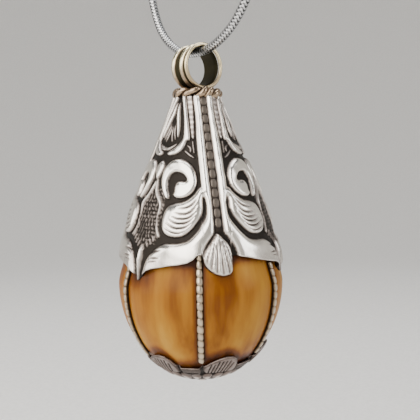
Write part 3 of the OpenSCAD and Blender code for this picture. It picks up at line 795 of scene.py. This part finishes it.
def amber_material():
    """Cloudy honey resin with upright streaks and a clear gloss."""
    material, tree, shader = new_material("amber")
    streak = noise(tree, 260, 4.0, (1, 1, 0.12))
    cloud = noise(tree, 90, 2.0, (1, 1, 0.6))
    streak = math_node(tree, "MULTIPLY", streak, 0.55)
    cloud = math_node(tree, "MULTIPLY", cloud, 0.45)
    level = math_node(tree, "ADD", streak, cloud)
    painted_shade_and_cloud = tree.nodes.new("ShaderNodeAttribute")
    painted_shade_and_cloud.attribute_name = "painted_shade_and_cloud"
    # darker where the attribute holds painted shade beside the straps, dish and cap, and the resin's own
    # cloud
    level = math_node(tree, "SUBTRACT", level, math_node(tree, "MULTIPLY", painted_shade_and_cloud.outputs["Fac"], 0.24))
    colour = ramp(tree, level, [(0.28, (0.04, 0.010, 0.002)), (0.40, (0.14, 0.040, 0.002)),
                                (0.48, (0.26, 0.100, 0.007)), (0.57, (0.34, 0.155, 0.014)),
                                (0.68, (0.42, 0.225, 0.03))])
    tree.links.new(colour, shader.inputs["Base Color"])
    shader.inputs["Roughness"].default_value = 0.45
    shader.inputs["Specular IOR Level"].default_value = 0.1
    shader.inputs["Subsurface Weight"].default_value = 0.15
    shader.inputs["Subsurface Radius"].default_value = (1.0, 0.45, 0.12)
    shader.inputs["Subsurface Scale"].default_value = 0.0015
    shader.inputs["Coat Weight"].default_value = 0.08
    shader.inputs["Coat Roughness"].default_value = 0.26
    return material


def plain(name, colour, roughness, metallic=0.0):
    """A plain finish with a faint grain."""
    material, tree, shader = new_material(name)
    low = tuple(c * 0.93 for c in colour)
    tree.links.new(ramp(tree, noise(tree, 700), [(0.35, low), (0.65, colour)]), shader.inputs["Base Color"])
    shader.inputs["Roughness"].default_value = roughness
    shader.inputs["Metallic"].default_value = metallic
    return material


def paint(frame, slot_materials):
    """The CAD nodes that stay shown take their slots' materials."""
    for part in frame["record"]["subparts"]:
        node = frame["nodes"][part["node"]]
        material = slot_materials.get(part["material_slot"])
        if material is not None and not node.hide_render:
            node.data.materials.clear()
            node.data.materials.append(material)


# ---------- camera, floor and light ----------

VIEW = (53, 5, 1.0)       # azimuth, elevation and roll of the camera, degrees
VIEW_AWAY = 0.115         # metres
VIEW_SHIFT = 0.00185      # to the right
VIEW_BELOW = 0.025        # the point looked at, under the bail
LENS = 55.85
FLOOR_Z = -175            # millimetres
FLOOR_SIDES = 96


def make_camera(bail_centre):
    azimuth, elevation, roll = (math.radians(angle) for angle in VIEW)
    aim = Vector((0, 0, bail_centre.z - VIEW_BELOW))
    back = Vector((math.sin(azimuth) * math.cos(elevation), -math.cos(azimuth) * math.cos(elevation),
                   math.sin(elevation)))
    right = (-back).cross(Vector((0, 0, 1))).normalized()
    up = right.cross(-back)
    turned = right * math.cos(roll) - up * math.sin(roll)
    top = turned.cross(-back)
    camera = bpy.data.objects.new("camera", bpy.data.cameras.new("camera"))
    bpy.context.scene.collection.objects.link(camera)
    camera.data.lens = LENS
    camera.data.sensor_width = 36
    place = aim + back * VIEW_AWAY + right * VIEW_SHIFT
    camera.matrix_world = Matrix((
        (turned.x, top.x, back.x, place.x),
        (turned.y, top.y, back.y, place.y),
        (turned.z, top.z, back.z, place.z),
        (0, 0, 0, 1),
    ))
    camera.data.clip_start = 0.005
    camera.data.clip_end = 20
    bpy.context.scene.camera = camera
    return right, -back


def make_floor(material):
    """A pale round floor that curves up into a wall on all sides."""
    profile = [(0.0001, 0), (0.5, 0)]
    profile += [(0.5 + 0.5 * math.sin(a), 0.5 - 0.5 * math.cos(a))
                for a in np.linspace(0.1, math.pi / 2, 14)]
    profile += [(1.0, 0.9)]
    p = np.array(profile) / MM
    turn = np.linspace(0, 2 * math.pi, FLOOR_SIDES, endpoint=False)
    r = p[:, 0][:, None]
    z = p[:, 1][:, None] + FLOOR_Z + 0 * turn
    points = np.stack([r * np.cos(turn), r * np.sin(turn), z], axis=-1)
    floor = mesh_piece("floor", points.reshape(-1, 3), grid_faces(len(p), FLOOR_SIDES), material)


def make_light(name, place, aim, size, energy, colour=(1, 1, 1)):
    data = bpy.data.lights.new(name, "AREA")
    data.shape = "RECTANGLE"
    data.size, data.size_y = size
    data.energy = energy
    data.color = colour
    light = bpy.data.objects.new(name, data)
    light.location = place
    light.rotation_mode = "QUATERNION"
    light.rotation_quaternion = (Vector(aim) - Vector(place)).to_track_quat("-Z", "Y")
    bpy.context.scene.collection.objects.link(light)


def make_lights(right, forward):
    aim = Vector((0, 0, -0.085))
    up = Vector((0, 0, 1))
    ahead = Vector((forward.x, forward.y, 0)).normalized()
    make_light("key", aim - right * 0.20 - ahead * 0.42 + up * 0.34, aim,
               (0.42, 0.66), 5.0, (1, 0.97, 0.92))
    make_light("window", aim - right * 0.50 - ahead * 0.14 + up * 0.16, aim,
               (0.36, 0.46), 1.9, (1, 0.97, 0.93))
    make_light("fill", aim + right * 0.46 - ahead * 0.16 + up * 0.20, aim,
               (0.20, 0.40), 1.0, (0.97, 0.98, 1))
    make_light("top", aim + ahead * 0.10 + up * 0.48, aim, (0.40, 0.30), 2.2)
    world = bpy.data.worlds.new("studio")
    bpy.context.scene.world = world
    world.use_nodes = True
    world.node_tree.nodes["Background"].inputs["Color"].default_value = (0.8, 0.82, 0.85, 1)
    world.node_tree.nodes["Background"].inputs["Strength"].default_value = 0.25


# ---------- the scene ----------

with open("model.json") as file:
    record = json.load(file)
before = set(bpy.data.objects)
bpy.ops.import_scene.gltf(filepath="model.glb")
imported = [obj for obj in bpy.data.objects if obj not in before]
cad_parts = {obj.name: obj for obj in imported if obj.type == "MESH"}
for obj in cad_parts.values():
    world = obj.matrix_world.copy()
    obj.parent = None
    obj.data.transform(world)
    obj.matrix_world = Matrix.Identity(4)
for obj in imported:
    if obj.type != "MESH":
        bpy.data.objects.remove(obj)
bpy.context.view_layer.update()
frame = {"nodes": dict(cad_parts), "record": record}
BAIL_LOW, BAIL_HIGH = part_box("bail_rim_wire")
CENTRE = np.array([0.0, 0.0, (BAIL_LOW.z + BAIL_HIGH.z) / 2 / MM])
right, forward = make_camera(Vector(CENTRE * MM))

chain_metal = tarnish_and_light_metal("chain_metal", (0.86, 0.86, 0.86), (0.27, 0.27, 0.275),
                        (0.03, 0.03, 0.03), 0.25, 0.5)
make_chain(chain_metal)

cap_silver = tarnish_and_light_metal("cap_silver", (0.96, 0.91, 0.83), (0.34, 0.29, 0.262),
                       (0.026, 0.022, 0.019), 0.2, 0.55)
# the dish's silver is a darker copy of the cap's, painted shade for its downward-facing surfaces
foot_silver = tarnish_and_light_metal("foot_silver", (0.70, 0.62, 0.57), (0.21, 0.165, 0.148),
                        (0.02, 0.016, 0.014), 0.3)
bead_silver = tarnish_and_light_metal("bead_silver", (0.56, 0.46, 0.34), (0.20, 0.145, 0.095),
                        (0.02, 0.012, 0.007), 0.28)
spine_silver = tarnish_and_light_metal("spine_silver", (0.19, 0.16, 0.135), (0.10, 0.082, 0.07),
                         (0.018, 0.014, 0.012), 0.4)
bail_gold = tarnish_and_light_metal("bail_gold", (0.95, 0.87, 0.58), (0.34, 0.25, 0.165),
                      (0.035, 0.03, 0.016), 0.16)
wire_gold = tarnish_and_light_metal("wire_gold", (0.72, 0.61, 0.38), (0.40, 0.31, 0.19),
                      (0.05, 0.04, 0.022), 0.22)
collar_gold = tarnish_and_light_metal("collar_gold", (0.36, 0.265, 0.18), (0.12, 0.078, 0.047),
                        (0.02, 0.012, 0.008), 0.2)

make_upper_cap(cap_silver)
make_spine_wires(spine_silver)
make_straps(bead_silver)
make_collar(collar_gold)
make_bail(bail_gold, wire_gold)
make_drop(amber_material())
make_lower_cap(foot_silver)
make_knob(foot_silver)
paint(frame, {
    "dark_silver": spine_silver,
    "lac": plain("lac", (0.12, 0.07, 0.04), 0.7),
    "clasp_steel": plain("clasp_steel", (0.58, 0.58, 0.59), 0.24, 1.0),
    "spring_steel": plain("spring_steel", (0.5, 0.5, 0.52), 0.35, 1.0),
})
make_floor(plain("pale_floor", (0.82, 0.81, 0.79), 0.9))
make_lights(right, forward)
